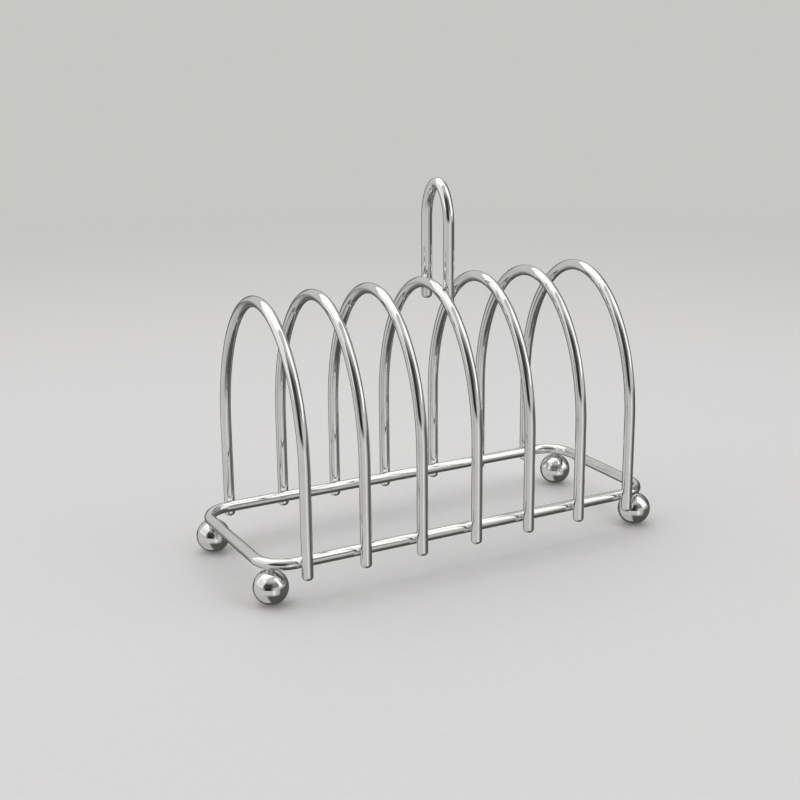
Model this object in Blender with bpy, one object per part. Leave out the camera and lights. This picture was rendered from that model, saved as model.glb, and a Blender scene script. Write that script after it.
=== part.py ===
"""Toast rack: seven wire arches make six slots on a wire base loop with four ball feet.

The origin is on the table, under the rack's centre. X runs along the row of slots, Y across it
and Z up. All dimensions below are in millimetres and are turned into metres by MM.
"""

import math

import bmesh
import bpy

MM = 0.001

# Stock
WIRE_RADIUS = 2.25 * MM
WELD_GAP = 0.3 * MM  # clearance between two pieces that the real rack has welded together
TIP_DOME_RISE = 1.6 * MM  # the cut ends of the wire are rounded over

# Ball feet
BALL_RADIUS = 7.0 * MM
BALL_FLAT_DEPTH = 0.15 * MM  # the ball is worn flat where it stands
BALL_HALF_SPACING_X = 86.4 * MM  # under the corner bends of the base loop
BALL_HALF_SPACING_Y = 30.5 * MM

# Base loop, to the wire's centre line
BASE_HALF_LENGTH = 89.5 * MM
BASE_HALF_WIDTH = 35.0 * MM
BASE_CORNER_RADIUS = 12.0 * MM
BALL_CENTRE_HEIGHT = BALL_RADIUS - BALL_FLAT_DEPTH
BASE_HEIGHT = BALL_CENTRE_HEIGHT + BALL_RADIUS + WELD_GAP + WIRE_RADIUS

# Divider arches, to the wire's centre line
ARCH_COUNT = 7
ARCH_PITCH = 25.0 * MM
ARCH_HALF_WIDTH = BASE_HALF_WIDTH + 2 * WIRE_RADIUS + WELD_GAP
ARCH_TOP_HEIGHT = 111.0 * MM
ARCH_CROWN_RISE = 59.0 * MM  # height of the half-ellipse above the straight legs
LEG_TIP_HEIGHT = 10.5 * MM

# Handle, to the wire's centre line
HANDLE_OFFSET = 2 * WIRE_RADIUS + WELD_GAP  # it is welded to the +X side of the middle arch
HANDLE_HALF_WIDTH = 9.0 * MM
HANDLE_TOP_HEIGHT = 151.25 * MM
HANDLE_CROWN_RISE = 16.0 * MM
HANDLE_TIP_HEIGHT = 102.5 * MM

# Facets
WIRE_BEVEL_RESOLUTION = 4  # twelve sides around the wire
CORNER_STEPS = 8
ARCH_CROWN_STEPS = 28
HANDLE_CROWN_STEPS = 18
DOME_STEPS = 4
DOME_STOP = 0.4  # share of a step by which a domed tip stops short of a point, leaving a flat
BALL_SEGMENTS = 24
BALL_RINGS = 12
BALL_SHARP_ANGLE = 40  # degrees; only the rim of the ball's flat bends more than this

# Finish, as colour and roughness
BASE_FINISH = ((0.78, 0.78, 0.76), 0.10)
ARCH_FINISH = ((0.80, 0.80, 0.78), 0.09)
HANDLE_FINISH = ((0.80, 0.80, 0.79), 0.08)
BALL_FINISH = ((0.79, 0.79, 0.77), 0.07)

# Each foot's side in X and in Y
FEET = {
    "ball_foot_front_left": (-1, -1),
    "ball_foot_front_right": (1, -1),
    "ball_foot_back_left": (-1, 1),
    "ball_foot_back_right": (1, 1),
}


def clear_scene():
    """Remove every object, so that the file holds only the rack."""
    for obj in list(bpy.data.objects):
        bpy.data.objects.remove(obj, do_unlink=True)


def bright_steel(name, finish):
    """Return a polished metal material."""
    colour, roughness = finish
    material = bpy.data.materials.new(name)
    material.use_nodes = True
    shader = material.node_tree.nodes["Principled BSDF"]
    shader.inputs["Base Color"].default_value = (*colour, 1.0)
    shader.inputs["Metallic"].default_value = 1.0
    shader.inputs["Roughness"].default_value = roughness
    return material


def wire_curve(name, points, material, closed=False):
    """Return round wire as curve data; each point is (x, y, z, share of the wire's radius)."""
    curve = bpy.data.curves.new(name, "CURVE")
    curve.dimensions = "3D"
    curve.bevel_depth = WIRE_RADIUS
    curve.bevel_resolution = WIRE_BEVEL_RESOLUTION
    curve.use_fill_caps = not closed
    spline = curve.splines.new("POLY")
    spline.points.add(len(points) - 1)
    for spline_point, (x, y, z, share) in zip(spline.points, points):
        spline_point.co = (x, y, z, 1.0)
        spline_point.radius = share
    spline.use_cyclic_u = closed
    spline.use_smooth = True
    curve.materials.append(material)
    return curve


def base_loop_points():
    """Return the rounded rectangle of the base, in the XY plane."""
    points = []
    corners = ((1, 1, 0), (-1, 1, 90), (-1, -1, 180), (1, -1, 270))
    for side_x, side_y, start in corners:
        centre_x = side_x * (BASE_HALF_LENGTH - BASE_CORNER_RADIUS)
        centre_y = side_y * (BASE_HALF_WIDTH - BASE_CORNER_RADIUS)
        for step in range(CORNER_STEPS + 1):
            angle = math.radians(start + 90 * step / CORNER_STEPS)
            x = centre_x + BASE_CORNER_RADIUS * math.cos(angle)
            y = centre_y + BASE_CORNER_RADIUS * math.sin(angle)
            points.append((x, y, 0.0, 1.0))
    return points


def upside_down_u_points(half_width, top_height, crown_rise, tip_height, crown_steps):
    """Return an upside-down U in the YZ plane: domed tips, straight legs, half-ellipse crown."""
    leg = []
    for step in range(DOME_STEPS):
        angle = math.radians(90 * (DOME_STEPS - step - DOME_STOP) / DOME_STEPS)
        height = tip_height + TIP_DOME_RISE * (1 - math.sin(angle))
        leg.append((0.0, -half_width, height, math.cos(angle)))
    leg.append((0.0, -half_width, tip_height + TIP_DOME_RISE, 1.0))

    crown = []
    spring_height = top_height - crown_rise
    for step in range(crown_steps + 1):
        angle = math.pi * step / crown_steps
        y = -half_width * math.cos(angle)
        z = spring_height + crown_rise * math.sin(angle)
        crown.append((0.0, y, z, 1.0))

    other_leg = [(x, -y, z, share) for x, y, z, share in reversed(leg)]
    return leg + crown + other_leg


def ball_mesh(material):
    """Return a ball about its own centre, with a small flat where it stands."""
    mesh = bpy.data.meshes.new("ball_foot")
    bm = bmesh.new()
    bmesh.ops.create_uvsphere(bm, u_segments=BALL_SEGMENTS, v_segments=BALL_RINGS, radius=BALL_RADIUS)
    bmesh.ops.bisect_plane(
        bm,
        geom=bm.verts[:] + bm.edges[:] + bm.faces[:],
        plane_co=(0.0, 0.0, -BALL_CENTRE_HEIGHT),
        plane_no=(0.0, 0.0, -1.0),
        clear_outer=True,
    )
    rim = [edge for edge in bm.edges if edge.is_boundary]
    bmesh.ops.holes_fill(bm, edges=rim, sides=0)
    bmesh.ops.recalc_face_normals(bm, faces=bm.faces[:])
    bm.to_mesh(mesh)
    bm.free()
    mesh.shade_smooth()
    mesh.set_sharp_from_angle(angle=math.radians(BALL_SHARP_ANGLE))
    mesh.materials.append(material)
    return mesh


def add_part(name, data, location, collection, parent):
    """Place one piece of the rack."""
    part = bpy.data.objects.new(name, data)
    part.location = location
    part.parent = parent
    collection.objects.link(part)
    return part


def build_rack():
    """Build every piece of the rack in its own collection."""
    clear_scene()
    collection = bpy.data.collections.new("toast_rack")
    bpy.context.scene.collection.children.link(collection)
    rack = bpy.data.objects.new("toast_rack_origin", None)
    collection.objects.link(rack)

    base_steel = bright_steel("base_wire", BASE_FINISH)
    arch_steel = bright_steel("arch_wire", ARCH_FINISH)
    handle_steel = bright_steel("handle_wire", HANDLE_FINISH)
    ball_steel = bright_steel("ball_steel", BALL_FINISH)

    base = wire_curve("base_frame", base_loop_points(), base_steel, closed=True)
    add_part("base_frame", base, (0.0, 0.0, BASE_HEIGHT), collection, rack)

    arch_points = upside_down_u_points(
        ARCH_HALF_WIDTH, ARCH_TOP_HEIGHT, ARCH_CROWN_RISE, LEG_TIP_HEIGHT, ARCH_CROWN_STEPS
    )
    arch = wire_curve("divider_arch", arch_points, arch_steel)
    for index in range(ARCH_COUNT):
        x = (index - (ARCH_COUNT - 1) / 2) * ARCH_PITCH
        add_part(f"divider_arch_{index + 1}", arch, (x, 0.0, 0.0), collection, rack)

    handle_points = upside_down_u_points(
        HANDLE_HALF_WIDTH, HANDLE_TOP_HEIGHT, HANDLE_CROWN_RISE, HANDLE_TIP_HEIGHT, HANDLE_CROWN_STEPS
    )
    handle = wire_curve("handle_loop", handle_points, handle_steel)
    add_part("handle_loop", handle, (HANDLE_OFFSET, 0.0, 0.0), collection, rack)

    ball = ball_mesh(ball_steel)
    for name, (side_x, side_y) in FEET.items():
        place = (side_x * BALL_HALF_SPACING_X, side_y * BALL_HALF_SPACING_Y, BALL_CENTRE_HEIGHT)
        add_part(name, ball, place, collection, rack)


build_rack()
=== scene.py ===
"""Toast rack: the finished look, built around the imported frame.

Every CAD wire is replaced by a finely swept wire on the same centre line, each ball foot by a
smooth ball with the same flat, and the welds are added as small nuggets. Lengths are in metres.
"""

import math

import bmesh
import bpy
from mathutils import Matrix, Vector, noise as lattice_noise


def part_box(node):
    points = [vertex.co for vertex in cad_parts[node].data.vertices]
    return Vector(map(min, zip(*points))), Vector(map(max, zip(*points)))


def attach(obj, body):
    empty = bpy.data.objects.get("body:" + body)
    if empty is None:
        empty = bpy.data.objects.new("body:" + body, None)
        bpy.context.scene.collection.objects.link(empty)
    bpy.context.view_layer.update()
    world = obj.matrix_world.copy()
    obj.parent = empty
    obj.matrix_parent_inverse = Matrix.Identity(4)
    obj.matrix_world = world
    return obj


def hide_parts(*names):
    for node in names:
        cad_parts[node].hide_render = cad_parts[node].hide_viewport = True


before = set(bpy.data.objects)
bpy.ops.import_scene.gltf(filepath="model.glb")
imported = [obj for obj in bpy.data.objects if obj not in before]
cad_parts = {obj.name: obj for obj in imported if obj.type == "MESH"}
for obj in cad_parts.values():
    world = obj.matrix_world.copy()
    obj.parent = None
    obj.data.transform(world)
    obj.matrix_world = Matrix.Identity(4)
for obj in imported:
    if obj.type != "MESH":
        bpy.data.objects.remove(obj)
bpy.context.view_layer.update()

MM = 0.001

BODY = "root"
BASE = "base_frame"
HANDLE = "handle_loop"
ARCHES = sorted(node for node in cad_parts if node.startswith("divider_arch"))
BALLS = sorted(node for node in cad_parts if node.startswith("ball_foot"))
MIDDLE_ARCH = ARCHES[len(ARCHES) // 2]

# Shapes that a node's box doesn't give
BASE_CORNER_RADIUS = 12.0 * MM
ARCH_CROWN_RISE = 59.0 * MM
HANDLE_CROWN_RISE = 16.0 * MM
TIP_DOME_RISE = 1.6 * MM

# Fineness of the wires and balls
WIRE_SIDES = 40
STRAIGHT_STEP = 2.5 * MM
CORNER_STEPS = 24
ARCH_CROWN_STEPS = 120
HANDLE_CROWN_STEPS = 64
DOME_STEPS = 10
DOME_STOP = 0.25  # share of a step by which a domed tip stops short of a point, leaving a flat
BALL_SEGMENTS = 72
BALL_RINGS = 48
BALL_SHARP_ANGLE = 30  # degrees; only the rim of the ball's flat bends more than this

# Weld nuggets
WELD_FOOTPRINT = 1.75 * MM
FOOT_WELD_FOOTPRINT = 1.9 * MM
WELD_SINK = 0.06 * MM  # how far a nugget's ends reach into the two pieces
WELD_WAIST = 0.22  # share of its width by which a nugget is pinched halfway
WELD_UNEVEN = 0.16  # share of its width by which a nugget's outline wanders
WELD_LUMP_REACH = 2 * MM
WELD_LUMPS_PER_METRE = 900
WELD_SIDES = 36
WELD_LEVELS = 10

# Metals: the darker and lighter colour that each one wanders between
WIRE_COLOURS = ((0.74, 0.737, 0.72), (0.83, 0.827, 0.81))
BALL_COLOURS = ((0.75, 0.747, 0.73), (0.84, 0.837, 0.82))
WELD_COLOURS = ((0.50, 0.495, 0.48), (0.68, 0.68, 0.665))
COLOUR_SPAN = (0.30, 0.70)  # the noise values that give the darker and the lighter colour
POLISH_STRETCH = (8.0, 14.0, 1.0)  # polish lines: along the wire, around it
DING_EDGE = (0.01, 0.07)  # from the bottom of a ding to its rim, in cell widths
DING_COLOUR = (0.20, 0.19, 0.17, 1.0)
DING_DARKENING = 0.22

# Floor, which fades into the wall's colour between two distances from the rack
FLOOR_COLOURS = ((0.783, 0.776, 0.780), (0.799, 0.792, 0.796))
FLOOR_ROUGHNESS = 0.55
FLOOR_RADIUS = 4.0
FLOOR_SIDES = 128
FLOOR_GAP = 0.02 * MM  # keeps the floor from flickering through the flats of the balls
FLOOR_FADE = (0.30, 1.05)
WALL_COLOUR = (0.570, 0.577, 0.545, 1.0)

# Azimuth 0 is in front of the rack (-Y) and grows towards +X; angles are in degrees
SOFTBOX_AIM = (0.0, 0.0, 0.06)
SOFTBOXES = {
    "key": {"azimuth": 52, "elevation": 36, "distance": 1.1, "size": (0.9, 1.2), "power": 3.2},
    "fill": {"azimuth": -104, "elevation": 32, "distance": 1.3, "size": (1.5, 1.2), "power": 3.6},
    "top": {"azimuth": 180, "elevation": 72, "distance": 1.2, "size": (1.5, 1.2), "power": 5.0},
}

# What the metal mirrors. Each band of the room has a glow all round and lobes, which are
# (azimuth, full within, gone beyond, weight); a negative weight is a dark thing in the room.
MIRROR_TINT = (1.0, 0.993, 0.975)
LOW_BAND = (0.12, [(-75, 66, 92, 0.50), (12, 8, 30, 0.44)])
WALL_BAND = (
    0.52,
    [(-40, 12, 36, -0.50), (28, 12, 40, 0.12), (132, 32, 62, -0.46), (-125, 20, 50, 0.12)],
)
HIGH_BAND = (0.22, [(-38, 12, 40, -0.17), (178, 28, 70, 0.42)])
CEILING_BAND = (0.60, [])
UNDER_BAND = (0.09, [(-105, 35, 70, 0.44)])

# Each later band takes over between two heights, as sines of the angle above level
LATER_BANDS = [
    ((-0.10, -0.02), WALL_BAND),
    ((0.12, 0.30), HIGH_BAND),
    ((0.55, 0.85), CEILING_BAND),
    ((-0.45, -0.70), UNDER_BAND),
]

# Camera, at the reference view's angle
CAMERA_TARGET = (-0.0084, 0.0090, 0.060)
CAMERA_DISTANCE = 0.5859
CAMERA_AZIMUTH = -28.16
CAMERA_ELEVATION = 16.19
CAMERA_ROLL = -0.54
CAMERA_SENSOR_WIDTH = 36.0  # millimetres
CAMERA_LENS = 62.523  # millimetres
CAMERA_CLIP = (0.01, 50.0)


# ---------------------------------------------------------------- sizes from the frame


def middle(node):
    """Return the centre of a node's box."""
    low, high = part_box(node)
    return [(start + end) / 2 for start, end in zip(low, high)]


def wire_radius(node):
    """Return a flat-bent wire's radius, which is half its box's thinnest side."""
    low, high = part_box(node)
    return min(end - start for start, end in zip(low, high)) / 2


def half_width(node):
    """Return how far a wire's centre line reaches in Y."""
    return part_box(node)[1][1] - wire_radius(node)


def ball_centre_and_radius(node):
    """Return a ball's centre and radius; its box is short by the flat underneath."""
    low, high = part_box(node)
    radius = (high[0] - low[0]) / 2
    centre_x, centre_y, _ = middle(node)
    return Vector((centre_x, centre_y, high[2] - radius)), radius


def bend_reach():
    """Return how far out the centres of the base loop's bends are, in X and Y."""
    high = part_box(BASE)[1]
    inset = wire_radius(BASE) + BASE_CORNER_RADIUS
    return high[0] - inset, high[1] - inset


def direction_to(azimuth, elevation=0.0):
    """Return the unit vector towards an azimuth and elevation."""
    a, e = math.radians(azimuth), math.radians(elevation)
    return Vector((math.sin(a) * math.cos(e), -math.cos(a) * math.cos(e), math.sin(e)))


# ---------------------------------------------------------------- meshes


def mesh_object(name, bm, replaced=()):
    """Turn a bmesh into a smooth piece that rides on the rack."""
    mesh = bpy.data.meshes.new(name)
    bmesh.ops.recalc_face_normals(bm, faces=bm.faces[:])
    bm.to_mesh(mesh)
    bm.free()
    mesh.shade_smooth()
    piece = bpy.data.objects.new(name, mesh)
    bpy.context.scene.collection.objects.link(piece)
    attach(piece, BODY)
    if replaced:
        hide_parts(*replaced)
    return piece


def sweep(path, normal, closed=False):
    """Sweep round wire along a flat path; each path point is (position, radius).

    The UV map runs along the wire in metres (U) and once around it (V).
    """
    bm = bmesh.new()
    uv_layer = bm.loops.layers.uv.new("wire")
    count = len(path)
    rings = []
    distances = [0.0]
    for index, (position, radius) in enumerate(path):
        before = path[index - 1][0] if closed or index > 0 else position
        after = path[(index + 1) % count][0] if closed or index < count - 1 else position
        along = (after - before).normalized()
        sideways = along.cross(normal).normalized()
        ring = []
        for side in range(WIRE_SIDES):
            angle = 2 * math.pi * side / WIRE_SIDES
            offset = sideways * math.cos(angle) + normal * math.sin(angle)
            ring.append(bm.verts.new(position + offset * radius))
        rings.append(ring)
        if index > 0:
            distances.append(distances[-1] + (position - path[index - 1][0]).length)
    if closed:
        distances.append(distances[-1] + (path[0][0] - path[-1][0]).length)

    for index in range(count if closed else count - 1):
        ring, next_ring = rings[index], rings[(index + 1) % count]
        start, end = distances[index], distances[index + 1]
        for side in range(WIRE_SIDES):
            other = (side + 1) % WIRE_SIDES
            face = bm.faces.new((ring[side], ring[other], next_ring[other], next_ring[side]))
            v, next_v = side / WIRE_SIDES, (side + 1) / WIRE_SIDES
            corners = ((start, v), (start, next_v), (end, next_v), (end, v))
            for loop, uv in zip(face.loops, corners):
                loop[uv_layer].uv = uv
    if not closed:
        bm.faces.new(rings[0][::-1])
        bm.faces.new(rings[-1])
    return bm


def straight(start, end, radius):
    """Return evenly spaced points from start up to, but not including, end."""
    steps = max(1, round((end - start).length / STRAIGHT_STEP))
    return [(start.lerp(end, step / steps), radius) for step in range(steps)]


def upside_down_u(x, reach, top, crown_rise, tip, crown_steps, radius):
    """Return the path of an upside-down U in the plane at x, with domed tips."""
    near = []
    for step in range(DOME_STEPS):
        angle = math.radians(90 * (1 - (step + DOME_STOP) / DOME_STEPS))
        height = tip + TIP_DOME_RISE * (1 - math.sin(angle))
        near.append((Vector((x, -reach, height)), radius * math.cos(angle)))
    spring = top - crown_rise
    leg_start = Vector((x, -reach, tip + TIP_DOME_RISE))
    near += straight(leg_start, Vector((x, -reach, spring)), radius)
    crown = []
    for step in range(crown_steps + 1):
        angle = math.pi * step / crown_steps
        y = -reach * math.cos(angle)
        crown.append((Vector((x, y, spring + crown_rise * math.sin(angle))), radius))
    far = [(Vector((x, -position.y, position.z)), share) for position, share in reversed(near)]
    return near + crown + far


# ---------------------------------------------------------------- the pieces


def build_u_wire(node, crown_rise, crown_steps):
    """Replace one upside-down U node, taking its size and place from its box."""
    low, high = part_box(node)
    radius = wire_radius(node)
    path = upside_down_u(
        x=middle(node)[0],
        reach=half_width(node),
        top=high[2] - radius,
        crown_rise=crown_rise,
        tip=low[2],
        crown_steps=crown_steps,
        radius=radius,
    )
    return mesh_object(f"{node}_wire", sweep(path, Vector((1, 0, 0))), [node])


def build_base():
    """Replace the base loop with a fine rounded rectangle of wire."""
    radius = wire_radius(BASE)
    centre_z = middle(BASE)[2]
    reach_x, reach_y = bend_reach()
    path = []
    for side_x, side_y, start in ((1, 1, 0), (-1, 1, 90), (-1, -1, 180), (1, -1, 270)):
        bend = []
        for step in range(CORNER_STEPS + 1):
            angle = math.radians(start + 90 * step / CORNER_STEPS)
            x = side_x * reach_x + BASE_CORNER_RADIUS * math.cos(angle)
            y = side_y * reach_y + BASE_CORNER_RADIUS * math.sin(angle)
            bend.append((Vector((x, y, centre_z)), radius))
        if path:
            path += straight(path[-1][0], bend[0][0], radius)[1:]
        path += bend
    path += straight(path[-1][0], path[0][0], radius)[1:]
    bm = sweep(path, Vector((0, 0, 1)), closed=True)
    return mesh_object(f"{BASE}_wire", bm, [BASE])


def fix_order(bm):
    """Sort vertices and faces by place, because a cut leaves them in a new order each run."""
    for index, vert in enumerate(sorted(bm.verts, key=lambda vert: vert.co.to_tuple())):
        vert.index = index
    bm.verts.sort()
    by_corners = sorted(bm.faces, key=lambda face: sorted(vert.index for vert in face.verts))
    for index, face in enumerate(by_corners):
        face.index = index
    bm.faces.sort()


def build_ball(node):
    """Replace one ball foot with a smooth ball that has the same flat underneath."""
    centre, radius = ball_centre_and_radius(node)
    bm = bmesh.new()
    bmesh.ops.create_uvsphere(bm, u_segments=BALL_SEGMENTS, v_segments=BALL_RINGS, radius=radius)
    bmesh.ops.translate(bm, verts=bm.verts[:], vec=centre)
    bmesh.ops.bisect_plane(
        bm,
        geom=bm.verts[:] + bm.edges[:] + bm.faces[:],
        plane_co=(0, 0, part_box(node)[0][2]),
        plane_no=(0, 0, -1),
        clear_outer=True,
    )
    bmesh.ops.holes_fill(bm, edges=[edge for edge in bm.edges if edge.is_boundary], sides=0)
    fix_order(bm)
    piece = mesh_object(f"{node}_ball", bm, [node])
    piece.data.set_sharp_from_angle(angle=math.radians(BALL_SHARP_ANGLE))
    return piece


def surface_depth(offset, normal, along, radius):
    """Return how far a rod's or ball's surface stands out along the normal, at an offset."""
    if along is None:
        return math.sqrt(radius * radius - offset.length_squared)
    reach = offset.dot(normal.cross(along).normalized())
    return math.sqrt(max(radius * radius - reach * reach, 0.0))


def add_weld(bm, rod_a, rod_b, footprint):
    """Add one weld nugget between two crossing rods to a bmesh.

    Each rod is (point on its axis nearest the other, direction, radius); rod_a may be a ball,
    with a direction of None. The nugget's ends sit just inside the rods; its waist is narrower.
    """
    centre_a, centre_b, along_b = rod_a[0], rod_b[0], rod_b[1]
    normal = (centre_b - centre_a).normalized()
    first = (along_b - normal * along_b.dot(normal)).normalized()
    second = normal.cross(first)
    rings = []
    for level in range(WELD_LEVELS + 1):
        share = level / WELD_LEVELS
        ring = []
        for side in range(WELD_SIDES):
            angle = 2 * math.pi * side / WELD_SIDES
            way = first * math.cos(angle) + second * math.sin(angle)
            lump_place = (centre_a + way * WELD_LUMP_REACH) * WELD_LUMPS_PER_METRE
            offset = way * footprint * (1 + WELD_UNEVEN * lattice_noise.noise(lump_place))
            ends = []
            for (centre, along, radius), sign in ((rod_a, 1), (rod_b, -1)):
                depth = surface_depth(offset, normal, along, radius)
                ends.append(centre + offset + normal * sign * (depth - WELD_SINK))
            place = ends[0].lerp(ends[1], share)
            axis_point = centre_a + normal * (place - centre_a).dot(normal)
            pinch = WELD_WAIST * math.sin(math.pi * share)
            ring.append(bm.verts.new(place + (axis_point - place) * pinch))
        rings.append(ring)
    for ring, next_ring in zip(rings, rings[1:]):
        for side in range(WELD_SIDES):
            other = (side + 1) % WELD_SIDES
            bm.faces.new((ring[side], ring[other], next_ring[other], next_ring[side]))
    for ring in (rings[0][::-1], rings[-1]):
        hub = bm.verts.new(sum((vert.co for vert in ring), Vector()) / WELD_SIDES)
        for side in range(WELD_SIDES):
            bm.faces.new((ring[side], ring[(side + 1) % WELD_SIDES], hub))


def build_rail_welds(name, side_y):
    """Weld every arch leg on one side to the outside of the long rail."""
    rail_y = side_y * half_width(BASE)
    rail_z = middle(BASE)[2]
    bm = bmesh.new()
    for node in ARCHES:
        x = middle(node)[0]
        leg_y = side_y * half_width(node)
        rail = (Vector((x, rail_y, rail_z)), Vector((1, 0, 0)), wire_radius(BASE))
        leg = (Vector((x, leg_y, rail_z)), Vector((0, 0, 1)), wire_radius(node))
        add_weld(bm, rail, leg, WELD_FOOTPRINT)
    return mesh_object(name, bm)


def build_handle_welds():
    """Weld the handle's two legs to the crown of the arch beside it."""
    arch_x, handle_x = middle(MIDDLE_ARCH)[0], middle(HANDLE)[0]
    radius = wire_radius(HANDLE)
    reach = half_width(MIDDLE_ARCH)
    leg_y = half_width(HANDLE)
    lean = math.asin(leg_y / reach)
    arch_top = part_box(MIDDLE_ARCH)[1][2] - radius
    height = arch_top - ARCH_CROWN_RISE * (1 - math.cos(lean))
    slope = -ARCH_CROWN_RISE * math.tan(lean) / reach
    bm = bmesh.new()
    for side in (-1, 1):
        crown_along = Vector((0, 1, side * slope)).normalized()
        crown = (Vector((arch_x, side * leg_y, height)), crown_along, radius)
        leg = (Vector((handle_x, side * leg_y, height)), Vector((0, 0, 1)), radius)
        add_weld(bm, crown, leg, WELD_FOOTPRINT)
    return mesh_object("handle_welds", bm)


def build_foot_welds():
    """Weld each ball to the underside of its corner bend."""
    reach_x, reach_y = bend_reach()
    rail_z = middle(BASE)[2]
    up = Vector((0, 0, 1))
    bm = bmesh.new()
    for node in BALLS:
        centre, radius = ball_centre_and_radius(node)
        bend_x = math.copysign(reach_x, centre.x)
        bend_y = math.copysign(reach_y, centre.y)
        outward = Vector((centre.x - bend_x, centre.y - bend_y, 0)).normalized()
        nearest = Vector((bend_x, bend_y, rail_z)) + outward * BASE_CORNER_RADIUS
        bend = (nearest, outward.cross(up), wire_radius(BASE))
        add_weld(bm, (centre, None, radius), bend, FOOT_WELD_FOOTPRINT)
    return mesh_object("foot_welds", bm)


# ---------------------------------------------------------------- shader nodes


def feed(tree, value, socket):
    """Link a value to a socket, or set the socket if the value is a plain number."""
    if isinstance(value, (int, float)):
        socket.default_value = value
    else:
        tree.links.new(value, socket)


def object_place(tree):
    """Return the place on the object, in metres."""
    return tree.nodes.new("ShaderNodeTexCoord").outputs["Object"]


def noise(tree, vector, scale, detail=4.0, roughness=0.5):
    """Return a noise texture's value."""
    node = tree.nodes.new("ShaderNodeTexNoise")
    node.inputs["Scale"].default_value = scale
    node.inputs["Detail"].default_value = detail
    node.inputs["Roughness"].default_value = roughness
    tree.links.new(vector, node.inputs["Vector"])
    return node.outputs["Fac"]


def map_range(tree, value, source, target, smooth=False):
    """Return a value mapped from one (start, end) to another, clamped at both ends."""
    node = tree.nodes.new("ShaderNodeMapRange")
    if smooth:
        node.interpolation_type = "SMOOTHSTEP"
    tree.links.new(value, node.inputs["Value"])
    node.inputs["From Min"].default_value, node.inputs["From Max"].default_value = source
    node.inputs["To Min"].default_value, node.inputs["To Max"].default_value = target
    return node.outputs["Result"]


def two_colours(tree, value, colours):
    """Return a colour that a noise value moves between a darker and a lighter one."""
    node = tree.nodes.new("ShaderNodeValToRGB")
    for element, position, colour in zip(node.color_ramp.elements, COLOUR_SPAN, colours):
        element.position = position
        element.color = (*colour, 1.0)
    tree.links.new(value, node.inputs["Fac"])
    return node.outputs["Color"]


def mix_colours(tree, factor, colour, other):
    """Return a linked colour mixed with a fixed one."""
    node = tree.nodes.new("ShaderNodeMix")
    node.data_type = "RGBA"
    tree.links.new(factor, node.inputs["Factor"])
    tree.links.new(colour, node.inputs["A"])
    node.inputs["B"].default_value = other
    return node.outputs["Result"]


def mix_values(tree, factor, first, second):
    """Return two values mixed."""
    node = tree.nodes.new("ShaderNodeMix")
    tree.links.new(factor, node.inputs["Factor"])
    feed(tree, first, node.inputs["A"])
    feed(tree, second, node.inputs["B"])
    return node.outputs["Result"]


def maths(tree, operation, *values):
    """Return the result of a maths node on linked values or plain numbers."""
    node = tree.nodes.new("ShaderNodeMath")
    node.operation = operation
    for value, socket in zip(values, node.inputs):
        feed(tree, value, socket)
    return node.outputs["Value"]


def vector_maths(tree, operation, vector, other=None):
    """Return a vector maths node on a linked vector and, if given, a fixed one."""
    node = tree.nodes.new("ShaderNodeVectorMath")
    node.operation = operation
    tree.links.new(vector, node.inputs[0])
    if other is not None:
        node.inputs[1].default_value = other
    return node


def bump(tree, height, strength, distance, previous=None):
    """Return the normal after a bump, on top of an earlier one."""
    node = tree.nodes.new("ShaderNodeBump")
    node.inputs["Strength"].default_value = strength
    node.inputs["Distance"].default_value = distance
    tree.links.new(height, node.inputs["Height"])
    if previous is not None:
        tree.links.new(previous, node.inputs["Normal"])
    return node.outputs["Normal"]


def dings(tree, place, per_metre):
    """Return 1 at the bottom of small scattered dings and 0 outside them."""
    node = tree.nodes.new("ShaderNodeTexVoronoi")
    node.inputs["Scale"].default_value = per_metre
    tree.links.new(place, node.inputs["Vector"])
    return map_range(tree, node.outputs["Distance"], DING_EDGE, (1.0, 0.0))


# ---------------------------------------------------------------- materials


def principled(name, metallic):
    """Return a new material with its node tree and its Principled shader."""
    material = bpy.data.materials.new(name)
    material.use_nodes = True
    tree = material.node_tree
    shader = tree.nodes["Principled BSDF"]
    shader.inputs["Metallic"].default_value = metallic
    return material, tree, shader


def wire_metal():
    """Bright drawn wire: faint lengthwise polish lines, soft waviness, haze and a few dings."""
    material, tree, shader = principled("polished_wire_chrome", metallic=1.0)
    uv = tree.nodes.new("ShaderNodeUVMap")
    uv.uv_map = "wire"
    lines = tree.nodes.new("ShaderNodeMapping")
    lines.inputs["Scale"].default_value = POLISH_STRETCH
    tree.links.new(uv.outputs["UV"], lines.inputs["Vector"])
    place = object_place(tree)

    streaks = noise(tree, lines.outputs["Vector"], scale=3.0, detail=3.0)
    haze = noise(tree, place, scale=70.0, roughness=0.6)
    waves = noise(tree, place, scale=85.0, detail=0.0)
    smears = noise(tree, place, scale=38.0, detail=5.0)
    dents = dings(tree, place, per_metre=210.0)

    darkening = maths(tree, "MULTIPLY", dents, DING_DARKENING)
    colour = mix_colours(tree, darkening, two_colours(tree, haze, WIRE_COLOURS), DING_COLOUR)
    tree.links.new(colour, shader.inputs["Base Color"])

    streak_roughness = map_range(tree, streaks, source=(0.35, 0.75), target=(0.045, 0.10))
    smear_roughness = map_range(tree, smears, source=(0.56, 0.68), target=(0.0, 0.07))
    roughness = maths(tree, "ADD", streak_roughness, smear_roughness)
    tree.links.new(roughness, shader.inputs["Roughness"])

    normal = bump(tree, waves, strength=0.30, distance=0.10 * MM)
    normal = bump(tree, streaks, strength=0.05, distance=0.02 * MM, previous=normal)
    hollows = maths(tree, "MULTIPLY", dents, -1.0)
    normal = bump(tree, hollows, strength=0.30, distance=0.04 * MM, previous=normal)
    tree.links.new(normal, shader.inputs["Normal"])
    return material


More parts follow.
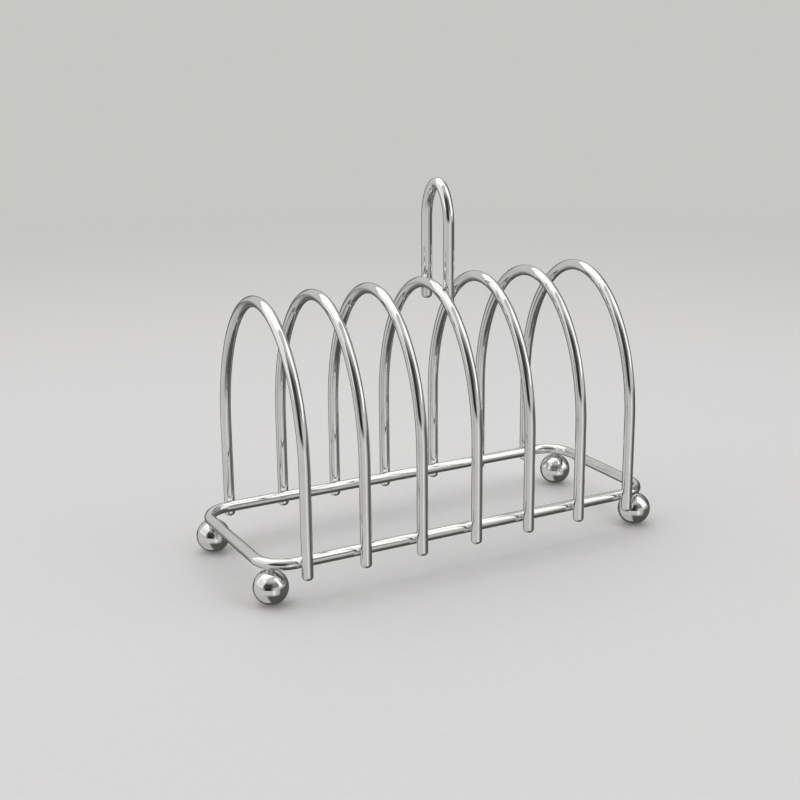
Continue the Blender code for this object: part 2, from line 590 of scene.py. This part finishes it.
def weld_metal():
    """Plated weld: a little rougher and darker than the wire, with a lumpy skin."""
    material, tree, shader = principled("weld_chrome", metallic=1.0)
    lumps = noise(tree, object_place(tree), scale=900.0, detail=3.0)
    tree.links.new(two_colours(tree, lumps, WELD_COLOURS), shader.inputs["Base Color"])
    roughness = map_range(tree, lumps, source=(0.3, 0.7), target=(0.26, 0.14))
    tree.links.new(roughness, shader.inputs["Roughness"])
    normal = bump(tree, lumps, strength=0.35, distance=0.10 * MM)
    tree.links.new(normal, shader.inputs["Normal"])
    return material


def ball_metal():
    """Bright ball: nearly a mirror, scuffed where it meets the table."""
    material, tree, shader = principled("polished_ball_chrome", metallic=1.0)
    place = object_place(tree)
    haze = noise(tree, place, scale=160.0)
    scuffs = noise(tree, place, scale=1500.0, detail=5.0)
    tree.links.new(two_colours(tree, haze, BALL_COLOURS), shader.inputs["Base Color"])

    split = tree.nodes.new("ShaderNodeSeparateXYZ")
    tree.links.new(place, split.inputs["Vector"])
    height = split.outputs["Z"]
    worn = map_range(tree, height, source=(0.2 * MM, 1.6 * MM), target=(0.28, 0.0))
    polish = map_range(tree, haze, source=(0.35, 0.75), target=(0.03, 0.08))
    tree.links.new(maths(tree, "ADD", worn, polish), shader.inputs["Roughness"])

    normal = bump(tree, scuffs, strength=0.03, distance=0.02 * MM)
    hollows = maths(tree, "MULTIPLY", dings(tree, place, per_metre=330.0), -1.0)
    normal = bump(tree, hollows, strength=0.25, distance=0.04 * MM, previous=normal)
    tree.links.new(normal, shader.inputs["Normal"])
    return material


def finish_with(piece, material):
    """Give a piece its one material."""
    piece.data.materials.append(material)


# ---------------------------------------------------------------- stage


def add_stage():
    """Add the plain pale floor, which fades into the wall's colour far from the rack."""
    bpy.ops.mesh.primitive_circle_add(
        vertices=FLOOR_SIDES, radius=FLOOR_RADIUS, fill_type="NGON"
    )
    floor = bpy.context.object
    floor.name = "floor"
    material, tree, shader = principled("pale_floor", metallic=0.0)
    place = object_place(tree)
    grain = noise(tree, place, scale=260.0)
    tree.links.new(two_colours(tree, grain, FLOOR_COLOURS), shader.inputs["Base Color"])
    shader.inputs["Roughness"].default_value = FLOOR_ROUGHNESS
    distance = vector_maths(tree, "LENGTH", place).outputs["Value"]
    fade = map_range(tree, distance, source=FLOOR_FADE, target=(0.0, 1.0), smooth=True)
    wall = tree.nodes.new("ShaderNodeEmission")
    wall.inputs["Color"].default_value = WALL_COLOUR
    mix = tree.nodes.new("ShaderNodeMixShader")
    tree.links.new(fade, mix.inputs["Fac"])
    tree.links.new(shader.outputs["BSDF"], mix.inputs[1])
    tree.links.new(wall.outputs["Emission"], mix.inputs[2])
    tree.links.new(mix.outputs["Shader"], tree.nodes["Material Output"].inputs["Surface"])
    floor.data.materials.append(material)
    floor.location.z = -FLOOR_GAP
    floor.visible_glossy = False


def add_softbox(name, azimuth, elevation, distance, size, power):
    """Add a soft light that points at the rack and is hidden from the camera."""
    light = bpy.data.lights.new(name, "AREA")
    light.shape = "RECTANGLE"
    light.size, light.size_y = size
    light.energy = power
    lamp = bpy.data.objects.new(name, light)
    bpy.context.scene.collection.objects.link(lamp)
    away = direction_to(azimuth, elevation)
    lamp.location = Vector(SOFTBOX_AIM) + away * distance
    lamp.rotation_euler = (-away).to_track_quat("-Z", "Y").to_euler()
    lamp.visible_camera = False


def lobe(tree, level_direction, azimuth, full, gone):
    """Return 1 within full degrees of an azimuth, fading to 0 at gone degrees."""
    facing = vector_maths(tree, "DOT_PRODUCT", level_direction, direction_to(azimuth))
    edge = (math.cos(math.radians(gone)), math.cos(math.radians(full)))
    return map_range(tree, facing.outputs["Value"], source=edge, target=(0.0, 1.0), smooth=True)


def band_glow(tree, level_direction, band):
    """Return how brightly one band of the room glows in a level direction."""
    total, lobes = band
    for azimuth, full, gone, weight in lobes:
        spot = lobe(tree, level_direction, azimuth, full, gone)
        total = maths(tree, "MULTIPLY_ADD", spot, weight, total)
    return total


def add_world():
    """A pale wall to the camera; panels and dark gaps for what the metal mirrors."""
    world = bpy.data.worlds.new("studio")
    bpy.context.scene.world = world
    world.use_nodes = True
    tree = world.node_tree
    direction = tree.nodes.new("ShaderNodeTexCoord").outputs["Generated"]
    split = tree.nodes.new("ShaderNodeSeparateXYZ")
    tree.links.new(direction, split.inputs["Vector"])
    up = split.outputs["Z"]
    flat = vector_maths(tree, "MULTIPLY", direction, (1.0, 1.0, 0.0)).outputs["Vector"]
    around = vector_maths(tree, "NORMALIZE", flat).outputs["Vector"]

    level = band_glow(tree, around, LOW_BAND)
    for heights, band in LATER_BANDS:
        rise = map_range(tree, up, source=heights, target=(0.0, 1.0))
        level = mix_values(tree, rise, level, band_glow(tree, around, band))

    tinted = tree.nodes.new("ShaderNodeVectorMath")
    tinted.operation = "SCALE"
    tinted.inputs[0].default_value = MIRROR_TINT
    tree.links.new(level, tinted.inputs["Scale"])
    seen = tree.nodes.new("ShaderNodeLightPath").outputs["Is Camera Ray"]
    colour = mix_colours(tree, seen, tinted.outputs["Vector"], WALL_COLOUR)
    tree.links.new(colour, tree.nodes["Background"].inputs["Color"])


def add_camera():
    """Stand the camera where the reference view was taken from."""
    data = bpy.data.cameras.new("camera")
    data.sensor_width = CAMERA_SENSOR_WIDTH
    data.lens = CAMERA_LENS
    data.clip_start, data.clip_end = CAMERA_CLIP
    camera = bpy.data.objects.new("camera", data)
    bpy.context.scene.collection.objects.link(camera)
    away = direction_to(CAMERA_AZIMUTH, CAMERA_ELEVATION)
    place = Matrix.Translation(Vector(CAMERA_TARGET) + away * CAMERA_DISTANCE)
    turn = (-away).to_track_quat("-Z", "Y").to_matrix().to_4x4()
    roll = Matrix.Rotation(math.radians(CAMERA_ROLL), 4, "Z")
    camera.matrix_world = place @ turn @ roll
    bpy.context.scene.camera = camera


# ---------------------------------------------------------------- put together

wire = wire_metal()
ball = ball_metal()
weld = weld_metal()

finish_with(build_base(), wire)
for node in ARCHES:
    finish_with(build_u_wire(node, ARCH_CROWN_RISE, ARCH_CROWN_STEPS), wire)
finish_with(build_u_wire(HANDLE, HANDLE_CROWN_RISE, HANDLE_CROWN_STEPS), wire)
for node in BALLS:
    finish_with(build_ball(node), ball)
finish_with(build_rail_welds("rail_welds_front", -1), weld)
finish_with(build_rail_welds("rail_welds_back", 1), weld)
finish_with(build_handle_welds(), weld)
finish_with(build_foot_welds(), weld)

add_stage()
for name, softbox in SOFTBOXES.items():
    add_softbox(name, **softbox)
add_world()
add_camera()
bpy.context.scene.view_settings.view_transform = "Standard"
